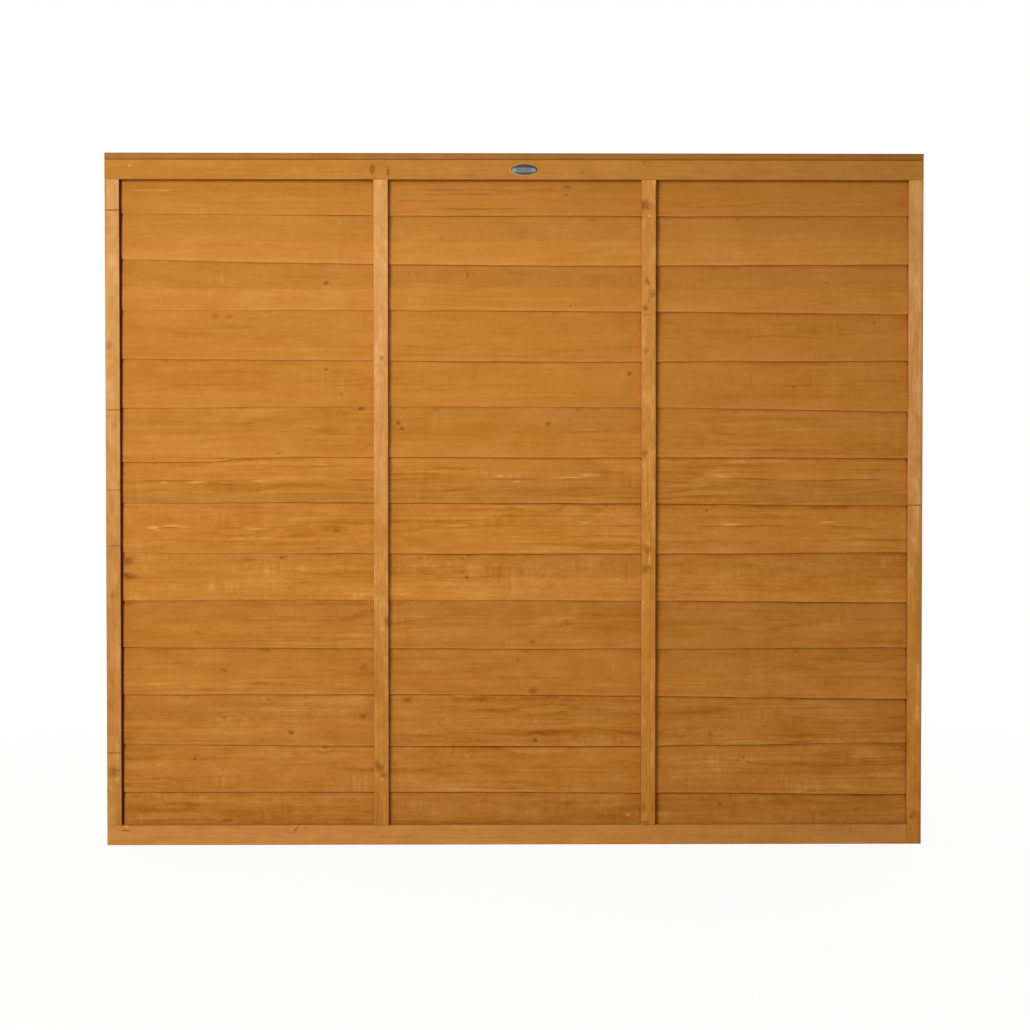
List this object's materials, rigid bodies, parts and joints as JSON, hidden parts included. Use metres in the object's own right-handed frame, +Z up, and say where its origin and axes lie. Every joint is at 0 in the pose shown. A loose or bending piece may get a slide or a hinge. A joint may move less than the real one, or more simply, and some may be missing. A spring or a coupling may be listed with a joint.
{
  "type": "lap fence panel",
  "caption": "Lap fence panel: thin overlapping softwood slats held between front and back frames of battens and rails, with a capping strip along the top.",
  "frame": {"origin": "middle of the panel's bottom edge, halfway through the layer of slats", "axes": "+X to the right along the panel seen from its front, +Y from the front to the back, +Z up"},
  "size_m": [1.829, 0.0446, 1.549],
  "materials": {
    "slat_timber": "matte",
    "frame_timber": "matte",
    "nail_steel": "satin",
    "plate_metal": "satin"
  },
  "bodies": {
    "root": {"slat_01": "slat_timber", "slat_02": "slat_timber", "slat_03": "slat_timber", "slat_04": "slat_timber", "slat_05": "slat_timber", "slat_06": "slat_timber", "slat_07": "slat_timber", "slat_08": "slat_timber", "slat_09": "slat_timber", "slat_10": "slat_timber", "slat_11": "slat_timber", "slat_12": "slat_timber", "slat_13": "slat_timber", "slat_14": "slat_timber", "front_left_batten": "frame_timber", "front_inner_left_batten": "frame_timber", "front_inner_right_batten": "frame_timber", "front_right_batten": "frame_timber", "back_left_batten": "frame_timber", "back_inner_left_batten": "frame_timber", "back_inner_right_batten": "frame_timber", "back_right_batten": "frame_timber", "front_bottom_rail": "frame_timber", "front_top_rail": "frame_timber", "back_bottom_rail": "frame_timber", "back_top_rail": "frame_timber", "top_cap": "frame_timber", "frame_nails": "nail_steel", "cap_nails": "nail_steel", "oval_plate": "plate_metal"}
  },
  "joints": []
}
